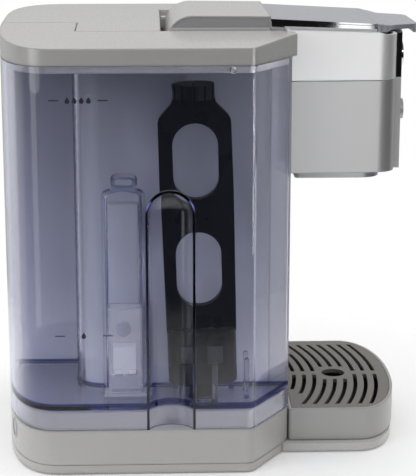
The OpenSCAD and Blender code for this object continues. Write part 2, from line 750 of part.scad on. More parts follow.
function front_top_line(drop) = [for (y = [lid_step_y - 0.3, lid_front_y]) [y, lid_top_z(y) - drop]];

module lid_front_plate() color([0.66, 0.67, 0.7]) difference() {
    union() {
        across(-lid_x, lid_x) polygon(concat(front_top_line(0),
            [[lid_front_y, lid_top_z(lid_front_y) - 1.2],
             [lid_step_y - 0.3, lid_top_z(lid_step_y - 0.3) - 1.2]]));
        across(-lid_x + 1.7, lid_x - 1.7) polygon(concat(front_top_line(1),
            [[lid_front_y, lid_bottom_z(lid_front_y) + 0.2],
             [lid_step_y - 0.3, lid_bottom_z(lid_step_y) + 0.2]]));
    }
    across(-lid_x + 4.2, lid_x - 4.2) polygon([[lid_step_y - 2.8, 300], [lid_front_y + 2.5, 300],
        [lid_front_y + 2.5, lid_top_z(lid_front_y) - 3], [lid_step_y - 2.8, lid_top_z(lid_step_y) - 3.4]]);
    lid_tube_notch();
}

module lid_chrome_bands() color(chrome) both_sides() across(lid_x - 1.6, lid_x + 0.1)
    polygon(concat(front_top_line(1.3), [[lid_front_y, lid_bottom_z(lid_front_y)],
        [lid_step_y - 0.3, lid_bottom_z(lid_step_y)]]));

module lid_handle() color([0.66, 0.67, 0.7]) difference() {
    intersection() {
        // Side profile: root against the front plate, thin grip, turned-down lip
        across(-60, 60) polygon(rounded([[lid_front_y - 0.1, 311.1, 0], [lid_front_y - 0.1, 304.9, 0],
            [-126.5, 304.9, 0], [-126.5, 305.6, 0], [-145.6, 305.6, 0], [-146.6, 302.4, 0.4],
            [-149.6, 302.4, 1], [tip_y, 306.3, 1], [tip_y + 2.6, 308.7, 1.6], [-129, 308.9, 6]], 4));
        // Plan: two steps inward, then a grip with a rounded front
        rise(295, 320) polygon(rounded([[lid_x, lid_front_y - 0.1, 0], [lid_x, -119.6, 0],
            [lid_x - 2.6, -120.2, 0], [lid_x - 3.4, -124.6, 0], [lid_x - 7, -126.4, 1],
            [42, -131, 3], [32, -149.2, 12], [0, tip_y, 150],
            [-32, -149.2, 12], [-42, -131, 3], [-lid_x + 7, -126.4, 1], [-lid_x + 3.4, -124.6, 0],
            [-lid_x + 2.6, -120.2, 0], [-lid_x, -119.6, 0], [-lid_x, lid_front_y - 0.1, 0]], 8));
    }
    block(-50, 50, -125, -119.4, 300, 307);
}

module lid_liner() color(black_plastic) difference() {
    union() {
        block(-50, 50, -110, -9, 302.6, 305.4);
        translate([0, pod_y, 296.6]) cylinder(r = 18.6, h = 6.2);
        both_sides() block(30, 33, -80, -9, 299, 303);
        block(-9, 9, -114.4, -109, 296, 305.4);
    }
    translate([0, pod_y, 290]) cylinder(r = 1.65, h = 30);
    translate([0, pod_y, 295]) cylinder(r = 17.2, h = 4);
}

module lid_latch() color(steel) {
    block(-7, 7, -117, -115.2, 283.6, 304.3);
    block(-7, 7, -118.6, -115.2, 283.6, 285.6);
}

module lid_water_tube() color(hose_white) {
    along_y(0, lid_tube_z, lid_tube_r, pod_y, -19 + lap);
    translate([6, -19, lid_tube_z]) rotate([0, 0, 90]) rotate_extrude(angle = 90) translate([6, 0])
        circle(r = lid_tube_r + elbow_t);
    along_x(-13, lid_tube_z, lid_tube_r, 6 - lap, 49);
}

module upper_needle() color(steel) translate([0, pod_y, 0]) {
    translate([0, 0, 285]) cylinder(r = 1.6, h = 21);
    translate([0, 0, 281]) cylinder(r1 = 0.3, r2 = 1.6, h = 4 + eps);
    translate([0, 0, 305.45]) cylinder(r = 4, h = 0.45);
}

module pod_seal() color([0.75, 0.3, 0.2]) translate([0, pod_y, 0]) difference() {
    translate([0, 0, 290.6]) cylinder(r = 17, h = 8.3);
    translate([0, 0, 290]) cylinder(r = 13.5, h = 10);
}

// ---------- water tank

function flute_r() = (flute_w * flute_w / 4 + flute_d * flute_d) / (2 * flute_d);
// Distance of the flute's axis outside the tank's side face
function flute_centre_out() = flute_r() - flute_d;

module flute(grow, z0) translate([-half_w - flute_centre_out(), 32.1, 0]) {
    translate([0, 0, z0]) cylinder(r = flute_r() + grow, h = flute_top_z - flute_w / 2 - z0);
    translate([0, 0, flute_top_z - flute_w / 2]) sphere(r = flute_r() + grow);
}

module channel_profile(inset) translate([-channel_mid_y, -channel_draft_z]) offset(delta = -inset)
    polygon(rounded([[channel_y0, channel_draft_z - 220, 0], [channel_y1, channel_draft_z - 220, 0],
        [channel_y1, channel_step_z, 6], [channel_neck_y1, channel_step_z, 2],
        [channel_neck_y1, channel_top_z, 5], [channel_neck_y0, channel_top_z, 5],
        [channel_neck_y0, channel_step_z, 2], [channel_y0, channel_step_z, 6]], 4));

// The float channel: a bay in the tank's inner wall with a stepped top, narrower at its face
module channel(inset, depth, draft) translate([tank_inner_x, channel_mid_y, channel_draft_z]) {
    mirror([1, 0, 0]) rotate([90, 0, 90]) linear_extrude(depth, scale = draft, slices = 1)
        channel_profile(inset);
    rotate([90, 0, 90]) linear_extrude(2) channel_profile(inset);
}
module channel_lining() channel(0, channel_d, 0.78);
module channel_recess() channel(tank_wall, channel_d - tank_wall, 0.8);

guide_posts = [[-115.4, 24], [-115.4, 1], [-86, 28], [-86, -12], [-108, -22], [-92, -22]];

module tank_body() color(clear_blue) {
    difference() {
        rise(tank_bottom_z, tank_rim_z) tank_plan();
        // Inside of the tank
        difference() {
            rise(tank_floor_z, tank_rim_z + 1) offset(delta = -tank_wall) tank_plan();
            flute(tank_wall, 0);
            channel_lining();
        }
        // Hollow under the floor
        difference() {
            rise(tank_bottom_z - 1, tank_floor_z - tank_floor_t) offset(delta = -tank_wall) tank_plan();
            flute(tank_wall, 0);
            channel_lining();
            translate([valve_x, valve_y, tank_bottom_z + 1]) cylinder(r = boss_r, h = 30);
        }
        flute(0, 0);
        channel_recess();
        translate([valve_x, valve_y, 30]) cylinder(r = 5.6, h = 13);
        translate([valve_x, valve_y, 40]) cylinder(r = 3.4, h = 20);
        translate([valve_x, valve_y, 47]) cylinder(r = 7, h = 20);
        along_x(-10.5, 288.2, 1.6, -half_w - 2, -half_w + 8);
    }
    for (p = guide_posts) translate([p.x, p.y, tank_floor_z - 1]) {
        cylinder(r = 2, h = 29);
        translate([0, 0, 29]) sphere(r = 2);
    }
}

// Filter pieces are drawn upright on the tank's floor, then leaned
module filter_frame() translate([valve_x, valve_y, filter_foot_z]) rotate([-filter_lean, 0, 0]) children();

module capsule(r) {
    for (s = [-1, 1]) translate([0, s * (24.6 - 11)]) circle(r = r);
    translate([-r, -(24.6 - 11)]) square([2 * r, 2 * (24.6 - 11)]);
}

module filter_handle() color(black_plastic) filter_frame() {
    across(-4, 4) difference() {
        polygon(rounded([[-24.8, cup_z1 + 0.2, 0], [24.8, cup_z1 + 0.2, 0], [25.8, 150, 0],
            [25.3, 201, 8], [15, 212, 4], [15, handle_top_z, 0], [-15, handle_top_z, 0],
            [-15, 212, 4], [-25.3, 201, 8], [-25.8, 150, 0]]));
        for (z = [66.9, 144.1]) translate([0, z + 15.8]) {
            circle(r = 15.8);
            translate([0, 22]) circle(r = 15.8);
            translate([-15.8, 0]) square([31.6, 22]);
        }
    }
    // Cap that closes the cup
    rise(cup_z1 + 0.1, cup_z1 + 3) capsule(11);
    rise(cup_z1 - 3, cup_z1 + 0.2) capsule(9.1);
    translate([0, 0, handle_top_z - eps]) cylinder(r = 4, h = dial_h - 3);
}

module filter_cup() color([0.2, 0.2, 0.22]) filter_frame() difference() {
    union() {
        rise(cup_z0, cup_z1) capsule(11);
        translate([0, 0, 0.2]) cylinder(r = 8, h = cup_z0);
    }
    rise(cup_z0 + 2, cup_z1 + 1) capsule(9.4);
    translate([0, 0, -1]) cylinder(r = 6.4, h = 30);
    for (s = [-1, 1]) translate([-20, s * 9 - 5.5, 26]) cube([40, 11, 13]);
}

module filter_cartridge() color([0.3, 0.3, 0.3]) filter_frame() rise(cup_z0 + 2.2, cup_z1 - 6) capsule(9.1);

module filter_dial() color(black_plastic) filter_frame() difference() {
    translate([0, 0, handle_top_z + 0.3]) cylinder(r = dial_r, h = dial_h);
    translate([0, 0, handle_top_z - 1]) cylinder(r = 4.06, h = dial_h - 2 + 0.4);
    for (k = [0:11]) rotate([0, 0, 30 * k]) translate([dial_r, 0, handle_top_z - 1])
        cylinder(r = 1.2, h = dial_h + 5);
    translate([-10, -0.7, handle_top_z + dial_h - 0.5]) cube([9, 1.4, 3]);
}

module float_cage() color([0.8, 0.82, 0.9, 0.5]) difference() {
    union() {
        block(cage_x0, cage_x1, cage_y0, cage_y1, cage_z0 - eps, cage_z1);
        block(cage_x0 - 2, cage_x1, cage_y0 - 3, cage_y1 + 3, tank_floor_z + 0.2, tank_floor_z + 2.2);
        block(cage_x0 + 2, cage_x1, cage_y0 + 2, cage_y1 - 2, tank_floor_z + 0.2, cage_z0);
    }
    block(cage_x0 + cage_wall, cage_x1 - cage_wall, cage_y0 + cage_wall, cage_y1 - cage_wall,
        float_rest_z - 0.2, cage_z1 - cage_wall);
    along_x(65.3, 100.8, 5.3, cage_x0 - 5, cage_x0 + 4);
    for (s = [0, 1]) block(cage_x0 + 3, cage_x1 - 3, cage_y0 + 3 + s * 12, cage_y0 + 9 + s * 12,
        cage_z1 - 4, cage_z1 + 4);
    for (s = [0, 1]) block(cage_x0 - 4, cage_x0 + 4, cage_y0 + 4 + s * 10, cage_y0 + 10 + s * 10,
        float_rest_z - 0.2, float_rest_z + 4);
}

module float_block() color([0.95, 0.95, 0.93]) difference() {
    block(cage_x0 + cage_wall + 0.8, cage_x1 - cage_wall - 0.8, 56.9, 73.1, float_rest_z, float_rest_z + float_h);
    block(cage_x0 + cage_wall + 3, cage_x1 - cage_wall - 3, 60, 70, float_rest_z - 1, float_rest_z + 6);
}

module valve_poppet() color([0.9, 0.9, 0.88]) translate([valve_x, valve_y, 0]) {
    translate([0, 0, poppet_z - 0.3]) cylinder(r = 5.2, h = 2.6);
    translate([0, 0, 38]) cylinder(r = 1.8, h = poppet_z - 38);
    translate([0, 0, 37.4]) cylinder(r = 4, h = 1.2);
}

module valve_spring() color(steel) translate([valve_x, valve_y, 38.7]) difference() {
    cylinder(r = 3.1, h = 4.2);
    translate([0, 0, -1]) cylinder(r = 2.1, h = 8);
}

module tank_lid() color(warm_grey) {
    difference() {
        intersection() {
            rise(cover_bottom_z, crown_z + 5) tank_lid_plan();
            under_crown();
        }
        intersection() {
            rise(cover_bottom_z - 1, crown_z + 5) offset(delta = -cover_t) tank_lid_plan();
            under_crown(cover_t);
        }
    }
    // Lip that drops inside the tank's rim
    intersection() {
        rise(tank_rim_z - 5, crown_z) difference() {
            offset(delta = -tank_wall - gap) tank_plan();
            offset(delta = -tank_wall - gap - 2) tank_plan();
        }
        under_crown(1);
    }
}

// ---------- drip tray

module drip_tray() color(warm_grey) difference() {
    rise(tray_bottom_z, tray_top_z) tray_plan();
    rise(tray_bottom_z + 3, plate_step_z + 1) offset(delta = -6) tray_plan();
    rise(plate_step_z, tray_top_z + 1) offset(delta = -tray_rim_t) tray_plan();
}

// One slot, an arc of the ring of radius r, as far as x = reach each side and clear of x = inner
module slot(r, inner, reach) intersection() {
    translate([0, slot_centre_y]) difference() {
        circle(r = r + slot_w / 2, $fn = 360);
        circle(r = r - slot_w / 2, $fn = 360);
    }
    both_sides() translate([inner, -200]) square([reach - inner, 150]);
}

module drip_plate() color([0.62, 0.6, 0.58]) difference() {
    rise(plate_step_z + 0.2, tray_top_z - 0.1) offset(delta = -tray_rim_t - 0.3) tray_plan();
    rise(20, 40) for (k = [0:8]) slot(slot_first_r - slot_pitch * k, k > 2 && k < 6 ? 15 : 4, slot_reach[k]);
    translate([0, drain_y, 20]) cylinder(r = drain_d / 2, h = 20);
}

base_housing();
bottom_plate();
rubber_feet();
base_screws();
tank_inlet();
screw_cap();
cord_gland();
tray_shelf();
side_shell();
inner_wall();
front_column();
top_cover();
head_lower_housing();
head_upper_housing();
head_bottom_pan();
front_plate_lower();
front_plate_upper();
brew_button_ring();
indicator_lenses();
button_board();
head_deck();
lid_hinge_pins();
pod_holder();
lower_needle();
outlet_spout();
water_pump();
boiler();
boiler_thermostat();
cold_hose();
pump_hose();
hot_hose();
control_board();
float_sensor();
brew_button();
size_button_small();
size_button_medium();
size_button_large();
power_button();
lid_rear_cover();
lid_front_plate();
lid_chrome_bands();
lid_side_panels();
lid_handle();
lid_liner();
lid_latch();
lid_water_tube();
upper_needle();
pod_seal();
tank_body();
filter_handle();
filter_cup();
filter_cartridge();
float_cage();
valve_spring();
tank_lid();
filter_dial();
float_block();
valve_poppet();
drip_tray();
drip_plate();
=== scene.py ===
"""Pod coffee machine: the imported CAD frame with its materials, printed marks and fine detail."""
import math

import bmesh
import bpy
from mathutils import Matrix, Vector


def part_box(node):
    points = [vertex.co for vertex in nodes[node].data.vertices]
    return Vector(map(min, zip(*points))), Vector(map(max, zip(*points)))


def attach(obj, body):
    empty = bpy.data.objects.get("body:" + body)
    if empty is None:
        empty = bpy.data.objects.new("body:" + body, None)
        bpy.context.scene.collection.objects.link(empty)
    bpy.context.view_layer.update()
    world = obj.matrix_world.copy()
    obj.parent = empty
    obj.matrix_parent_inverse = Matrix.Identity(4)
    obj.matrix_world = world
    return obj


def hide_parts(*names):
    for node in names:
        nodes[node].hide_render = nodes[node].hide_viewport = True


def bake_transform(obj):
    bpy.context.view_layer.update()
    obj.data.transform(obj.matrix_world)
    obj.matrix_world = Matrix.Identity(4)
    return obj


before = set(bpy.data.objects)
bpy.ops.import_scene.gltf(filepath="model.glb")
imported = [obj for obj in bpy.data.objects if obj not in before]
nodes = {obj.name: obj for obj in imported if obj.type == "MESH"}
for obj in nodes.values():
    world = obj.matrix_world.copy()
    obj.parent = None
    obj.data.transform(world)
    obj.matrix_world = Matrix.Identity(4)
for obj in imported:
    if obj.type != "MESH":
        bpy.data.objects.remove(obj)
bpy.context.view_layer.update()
scene = bpy.context.scene

# Camera: place in metres, turn and tilt in degrees, lens and sensor in millimetres.
CAMERA_PLACE = (-1.191, 0.0451, 0.436)
CAMERA_YAW, CAMERA_PITCH = 2.085, 13.87
LENS, SENSOR = 121.0, 36.0

# World: strength of the soft light from above and from behind the object, the evenly spread part, and
# how much of it a mirror shows. DARK_SIDE is what clear plastic shows towards the darker side of the room.
SKY_TOP, SKY_BACK, SKY_BASE, MIRROR_BASE = 1.25, 0.5, 0.03, 0.006
DARK_SIDE = (0.12, 0.13, 0.17)

# Floor: a disc that is solid out to FLOOR_SOLID and gone at FLOOR_R, just under the feet.
FLOOR_SOLID, FLOOR_R, FLOOR_Z, FLOOR_GLOW = 0.27, 0.5, -0.0002, 0.12

# Printed marks stand PRINT_PROUD out of the surface. Their plates reach a little into it.
PRINT_PROUD = 0.00012
TANK_PRINT_T, BUTTON_PRINT_T = 0.00017, 0.00022

# Depth of the fine grain in the surfaces, and the heights and colour of the painted shade band at the tank
# floor's thick edge: a deep blue band painted on in place of the darkening of light on its long path through
# the plastic.
GRAIN = 0.00004
TANK_EDGE_SHADE = (0.0499, 0.0529, (0.06, 0.09, 0.3))

# ---------- camera and light


def add_camera():
    """The camera on the object's left side, a little above it."""
    data = bpy.data.cameras.new("camera")
    data.lens = LENS
    data.sensor_width = SENSOR
    data.clip_start = 0.05
    camera = bpy.data.objects.new("camera", data)
    scene.collection.objects.link(camera)
    camera.location = CAMERA_PLACE
    yaw, pitch = math.radians(CAMERA_YAW), math.radians(CAMERA_PITCH)
    look = Vector((math.cos(yaw) * math.cos(pitch), -math.sin(yaw) * math.cos(pitch), -math.sin(pitch)))
    camera.rotation_euler = look.to_track_quat("-Z", "Y").to_euler()
    scene.camera = camera


add_camera()


def studio_world():
    """White behind the object. Soft light from above for matt surfaces, a dark room for mirrors."""
    world = bpy.data.worlds.new("studio")
    world.use_nodes = True
    tree = world.node_tree
    env = tree.nodes["Background"]
    axes = tree.nodes.new("ShaderNodeSeparateXYZ")
    tree.links.new(tree.nodes.new("ShaderNodeTexCoord").outputs["Generated"], axes.inputs[0])
    path = tree.nodes.new("ShaderNodeLightPath").outputs

    def step(value, low, high, gain):
        node = tree.nodes.new("ShaderNodeMapRange")
        node.interpolation_type = "SMOOTHSTEP"
        for key, number in (("From Min", low), ("From Max", high), ("To Min", 0.0), ("To Max", gain)):
            node.inputs[key].default_value = number
        tree.links.new(value, node.inputs["Value"])
        return node.outputs["Result"]

    def join(kind, x, y):
        node = tree.nodes.new("ShaderNodeMath")
        node.operation = kind
        for slot, value in ((0, x), (1, y)):
            if isinstance(value, float):
                node.inputs[slot].default_value = value
            else:
                tree.links.new(value, node.inputs[slot])
        return node.outputs[0]

    above = step(axes.outputs["Z"], 0.2, 0.9, SKY_TOP)
    behind = step(axes.outputs["X"], -0.15, 0.6, SKY_BACK)
    soft = join("ADD", join("ADD", above, behind), SKY_BASE)
    mirror = join("ADD", step(axes.outputs["X"], 0.1, 0.7, SKY_BACK), MIRROR_BASE)
    glossy = path["Is Glossy Ray"]
    matt_part = join("MULTIPLY", soft, join("SUBTRACT", 1.0, glossy))
    level = join("ADD", matt_part, join("MULTIPLY", mirror, glossy))
    through, bright_side = path["Is Transmission Ray"], step(axes.outputs["X"], 0.0, 0.3, 1.0)
    seen = join("MAXIMUM", path["Is Camera Ray"], join("MULTIPLY", through, bright_side))
    inner = join("MULTIPLY", through, join("SUBTRACT", 1.0, bright_side))
    level = join("MAXIMUM", join("MAXIMUM", level, seen), inner)
    tree.links.new(level, env.inputs["Strength"])
    hue = tree.nodes.new("ShaderNodeMix")
    hue.data_type = "RGBA"
    hue.inputs["A"].default_value = (1, 1, 1, 1)
    hue.inputs["B"].default_value = (*DARK_SIDE, 1)
    tree.links.new(inner, hue.inputs["Factor"])
    tree.links.new(hue.outputs["Result"], env.inputs["Color"])
    scene.world = world


studio_world()
scene.view_settings.view_transform = "Standard"


def card(name, place, target, size, radiance, matt=False, only=()):
    """A rectangular light of even brightness. Matt surfaces don't take light from it unless asked.

    With only, it lights these nodes and nothing else.
    """
    data = bpy.data.lights.new(name, "AREA")
    data.shape = "RECTANGLE"
    data.size, data.size_y = size
    data.energy = radiance * math.pi * size[0] * size[1]
    lamp = bpy.data.objects.new(name, data)
    scene.collection.objects.link(lamp)
    lamp.location = place
    lamp.rotation_euler = (Vector(target) - Vector(place)).to_track_quat("-Z", "Y").to_euler()
    lamp.visible_diffuse = matt
    lamp.visible_camera = False
    lamp.visible_transmission = False
    if only:
        lit = bpy.data.collections.new(name + "_lit")
        for node in only:
            lit.objects.link(nodes[node])
        lamp.light_linking.receiver_collection = lit


TANK_PIECES = ("tank_body", "tank_lid", "float_cage", "filter_handle", "filter_cup", "filter_dial")
HEAD_PIECES = ("head_upper_housing", "head_lower_housing", "head_bottom_pan")
card("front_strip", (-0.42, -0.50, 0.24), (-0.1, -0.03, 0.2), (0.035, 0.46), 40, only=TANK_PIECES)
card("rear_strip", (-0.3, 0.42, 0.2), (-0.1, 0.1, 0.18), (0.12, 0.4), 1.6)
card("edge_glow", (-0.38, 0.08, 1.15), (-0.12, 0.05, 0.3), (0.34, 0.36), 8)
card("key", (-1.3, -0.75, 0.75), (-0.07, -0.09, 0.26), (0.8, 0.9), 2.0)
card("head_card", (-0.75, -0.25, 0.14), (-0.07, -0.1, 0.25), (0.32, 0.38), 1.7, only=HEAD_PIECES)
card("trim_card", (-0.75, -0.19, 0.2314), (-0.056, -0.1, 0.309), (0.039, 0.06), 1.3)
card("fill", (-0.8, -1.2, 0.9), (0, 0, 0.15), (1.0, 1.0), 0.25, matt=True)
card("rear_fill", (-0.7, 0.9, 0.45), (-0.06, 0.08, 0.18), (0.7, 0.7), 2.1, matt=True)

# ---------- materials


class Nodes:
    """A shorthand for building a material's node tree."""

    def __init__(self, name):
        self.mat = bpy.data.materials.new(name)
        self.mat.use_nodes = True
        self.tree = self.mat.node_tree
        self.bsdf = self.tree.nodes["Principled BSDF"]
        self.coord = self.add("ShaderNodeTexCoord").outputs["Object"]

    def add(self, kind, **props):
        node = self.tree.nodes.new(kind)
        for key, value in props.items():
            setattr(node, key, value)
        return node

    def link(self, a, b):
        self.tree.links.new(a, b)

    def noise(self, scale, detail=2.0, stretch=None):
        node = self.add("ShaderNodeTexNoise")
        node.inputs["Scale"].default_value = scale
        node.inputs["Detail"].default_value = detail
        source = self.coord
        if stretch:
            mapping = self.add("ShaderNodeMapping")
            mapping.inputs["Scale"].default_value = stretch
            self.link(source, mapping.inputs["Vector"])
            source = mapping.outputs["Vector"]
        self.link(source, node.inputs["Vector"])
        return node.outputs["Fac"]

    def ramp(self, value, low, high, out_low, out_high):
        node = self.add("ShaderNodeMapRange")
        node.inputs["From Min"].default_value = low
        node.inputs["From Max"].default_value = high
        node.inputs["To Min"].default_value = out_low
        node.inputs["To Max"].default_value = out_high
        self.link(value, node.inputs["Value"])
        return node.outputs["Result"]

    def mix(self, fac, a, b):
        node = self.add("ShaderNodeMix", data_type="RGBA")
        node.inputs["A"].default_value = (*a, 1)
        node.inputs["B"].default_value = (*b, 1)
        self.link(fac, node.inputs["Factor"])
        return node.outputs["Result"]

    def normal(self, height, strength, distance, edge=0.0):
        bump = self.add("ShaderNodeBump")
        bump.inputs["Strength"].default_value = strength
        bump.inputs["Distance"].default_value = distance
        self.link(height, bump.inputs["Height"])
        if edge:
            bevel = self.add("ShaderNodeBevel", samples=4)
            bevel.inputs["Radius"].default_value = edge
            self.link(bevel.outputs["Normal"], bump.inputs["Normal"])
        self.link(bump.outputs["Normal"], self.bsdf.inputs["Normal"])


def surface(name, colour, rough, metal=0.0, vary=0.06, grain=1400.0, bump=0.12, edge=0.0006, coat=0.0,
            stretch=None, ior=1.5, gloss=0.5):
    """Moulded, painted or metal surface: fine grain in the bump, slow drift in colour and roughness."""
    m = Nodes(name)
    slow = m.noise(14.0, 3.0)
    fine = m.noise(grain, 2.0, stretch)
    light = tuple(min(1.0, c * (1 + vary)) for c in colour)
    dark = tuple(c * (1 - vary) for c in colour)
    m.link(m.mix(slow, dark, light), m.bsdf.inputs["Base Color"])
    m.link(m.ramp(fine, 0.3, 0.7, rough * 0.85, min(1.0, rough * 1.15)), m.bsdf.inputs["Roughness"])
    m.bsdf.inputs["Metallic"].default_value = metal
    m.bsdf.inputs["IOR"].default_value = ior
    m.bsdf.inputs["Specular IOR Level"].default_value = gloss
    m.bsdf.inputs["Coat Weight"].default_value = coat
    m.bsdf.inputs["Coat Roughness"].default_value = 0.12
    m.normal(fine, bump, GRAIN, edge)
    return m.mat


def painted_edge_shade(m, tone, low, high, shade_colour):
    """Painted shade at the thick edge of a clear floor: a deep blue band painted round the wall between two
    heights, standing in for the darkening of light on its long path through the plastic.
    """
    place = m.add("ShaderNodeSeparateXYZ")
    m.link(m.coord, place.inputs[0])
    lean = m.add("ShaderNodeSeparateXYZ")
    m.link(m.add("ShaderNodeTexCoord").outputs["Normal"], lean.inputs[0])
    mask = m.ramp(place.outputs["Z"], low, low + 0.0004, 0.0, 1.0)
    for value, start, end in ((place.outputs["Z"], high - 0.0004, high), (lean.outputs["Z"], 0.3, 0.5)):
        both = m.add("ShaderNodeMath", operation="MULTIPLY")
        m.link(mask, both.inputs[0])
        m.link(m.ramp(value, start, end, 1.0, 0.0), both.inputs[1])
        mask = both.outputs[0]
    mixed = m.add("ShaderNodeMix", data_type="RGBA")
    mixed.inputs["B"].default_value = (*shade_colour, 1)
    m.link(mask, mixed.inputs["Factor"])
    m.link(tone, mixed.inputs["A"])
    return mixed.outputs["Result"]


def clear(name, tint, shade, depth, dense=60.0, rough=0.012, ior=1.46, edge=0.0012, gloss=0.12, pass_on=1.0,
          shade_band=None):
    """Clear plastic: refracts what is seen through it, darkens with depth, and lets light through."""
    m = Nodes(name)
    drift = m.noise(9.0, 2.0)
    lighter = tuple(min(1.0, c * 1.02) for c in tint)
    darker = tuple(c * 0.98 for c in tint)
    tone = m.mix(drift, darker, lighter)
    # the tank's floor edge gets a painted shade band
    if shade_band:
        tone = painted_edge_shade(m, tone, *shade_band)
    m.link(tone, m.bsdf.inputs["Base Color"])
    m.bsdf.inputs["Transmission Weight"].default_value = pass_on
    m.bsdf.inputs["IOR"].default_value = ior
    m.bsdf.inputs["Specular IOR Level"].default_value = gloss
    m.link(m.ramp(m.noise(220.0, 2.0), 0.3, 0.7, rough, rough + 0.015), m.bsdf.inputs["Roughness"])
    m.normal(m.noise(30.0, 1.0), 0.1, 0.0002, edge)
    path = m.add("ShaderNodeLightPath")
    through = m.add("ShaderNodeBsdfTransparent")
    through.inputs["Color"].default_value = (*shade, 1)
    mixed = m.add("ShaderNodeMixShader")
    m.link(path.outputs["Is Shadow Ray"], mixed.inputs["Fac"])
    m.link(m.bsdf.outputs["BSDF"], mixed.inputs[1])
    m.link(through.outputs["BSDF"], mixed.inputs[2])
    out = m.tree.nodes["Material Output"]
    m.link(mixed.outputs["Shader"], out.inputs["Surface"])
    absorb = m.add("ShaderNodeVolumeAbsorption")
    absorb.inputs["Color"].default_value = (*depth, 1)
    absorb.inputs["Density"].default_value = dense
    m.link(absorb.outputs["Volume"], out.inputs["Volume"])
    return m.mat


MATS = {
    "warm": surface("warm_grey_plastic", (0.53, 0.525, 0.515), 0.3, vary=0.03, bump=0.04, edge=0.0026,
                    coat=0.3),
    "silver": surface("silver_paint", (0.54, 0.54, 0.545), 0.34, metal=0.5, vary=0.03, grain=3000, bump=0.08,
                      edge=0.0012),
    "silver_light": surface("silver_light", (0.92, 0.92, 0.925), 0.34, metal=0.4, vary=0.02, grain=3000,
                            bump=0.08, edge=0.0012),
    "dark_silver": surface("dark_silver", (0.58, 0.58, 0.6), 0.36, metal=0.4, vary=0.04, grain=2600),
    "chrome": surface("chrome_trim", (0.82, 0.82, 0.84), 0.05, metal=1.0, vary=0.02, grain=900, bump=0.02,
                      edge=0.0006),
    "blue_grey": surface("blue_grey_lid", (0.42, 0.435, 0.48), 0.3, metal=0.2, vary=0.03, edge=0.001,
                         coat=0.2),
    "black": surface("black_plastic", (0.022, 0.022, 0.026), 0.42, vary=0.1, bump=0.15),
    "rubber": surface("rubber_black", (0.03, 0.03, 0.03), 0.75, vary=0.12, grain=1800, bump=0.3),
    "steel": surface("brushed_steel", (0.6, 0.61, 0.63), 0.28, metal=1.0, vary=0.03, grain=700,
                     stretch=(1, 1, 14), edge=0.0004),
    "pump": surface("pump_body", (0.42, 0.38, 0.2), 0.35, metal=0.8, vary=0.12),
    "board": surface("board_green", (0.03, 0.14, 0.07), 0.35, vary=0.15, grain=600, coat=0.4),
    "hose": surface("silicone_hose", (0.72, 0.72, 0.68), 0.5, vary=0.04),
    "white": surface("white_plastic", (0.8, 0.81, 0.82), 0.4, vary=0.03),
    "lens": surface("indicator_blue", (0.2, 0.42, 0.85), 0.12, coat=0.8),
    "seal": surface("seal_red", (0.45, 0.12, 0.07), 0.6, vary=0.1, bump=0.25),
    "warm_base": surface("warm_grey_base", (0.44, 0.435, 0.425), 0.3, vary=0.03, bump=0.04, edge=0.0026,
                         coat=0.3),
    "panel": surface("panel_grey", (0.4, 0.4, 0.41), 0.36, metal=0.25, vary=0.03, bump=0.05),
    "plate": surface("drip_plate_grey", (0.21, 0.195, 0.18), 0.36, metal=0.25, vary=0.05, edge=0.0006),
    "tank": clear("tank_clear", (0.965, 0.961, 0.95), (0.94, 0.94, 0.945), (0.12, 0.2, 0.72), dense=40.0,
                  shade_band=TANK_EDGE_SHADE),
    "clear": clear("clear_plastic", (0.86, 0.865, 0.875), (0.9, 0.9, 0.92), (0.7, 0.72, 0.9), rough=0.1,
                   edge=0.0006, pass_on=0.8),
    "black_smooth": surface("black_smooth", (0.006, 0.006, 0.007), 0.3, vary=0.1, grain=60, bump=0.01,
                            gloss=0.1),
    "charcoal": surface("charcoal", (0.05, 0.05, 0.055), 0.9, vary=0.1, grain=300, bump=0.1, gloss=0.2),
    "bright": surface("bright_metal", (0.85, 0.85, 0.86), 0.15, metal=0.9, vary=0.02, bump=0.02, edge=0.0),
    "print": surface("printed_mark", (0.02, 0.02, 0.03), 0.6, vary=0.05, edge=0.0),
}


def lid_plate_finish():
    """Blue-grey paint on top of the lid's front plate, bright chrome round its side."""
    m = Nodes("lid_plate_paint")
    m.link(m.mix(m.noise(14.0, 3.0), (0.4, 0.415, 0.46), (0.43, 0.445, 0.49)), m.bsdf.inputs["Base Color"])
    m.link(m.ramp(m.noise(1400.0), 0.3, 0.7, 0.27, 0.33), m.bsdf.inputs["Roughness"])
    m.bsdf.inputs["Metallic"].default_value = 0.2
    m.bsdf.inputs["Coat Weight"].default_value = 0.2
    m.normal(m.noise(1400.0), 0.06, GRAIN)
    trim = m.add("ShaderNodeBsdfPrincipled")
    m.link(m.mix(m.noise(20.0), (0.8, 0.8, 0.82), (0.84, 0.84, 0.86)), trim.inputs["Base Color"])
    trim.inputs["Metallic"].default_value = 1.0
    trim.inputs["Roughness"].default_value = 0.05
    lean = m.add("ShaderNodeSeparateXYZ")
    m.link(m.add("ShaderNodeTexCoord").outputs["Normal"], lean.inputs[0])
    both = m.add("ShaderNodeMixShader")
    m.link(m.ramp(lean.outputs["Z"], 0.35, 0.6, 1.0, 0.0), both.inputs["Fac"])
    m.link(m.bsdf.outputs["BSDF"], both.inputs[1])
    m.link(trim.outputs["BSDF"], both.inputs[2])
    m.link(both.outputs["Shader"], m.tree.nodes["Material Output"].inputs["Surface"])
    return m.mat


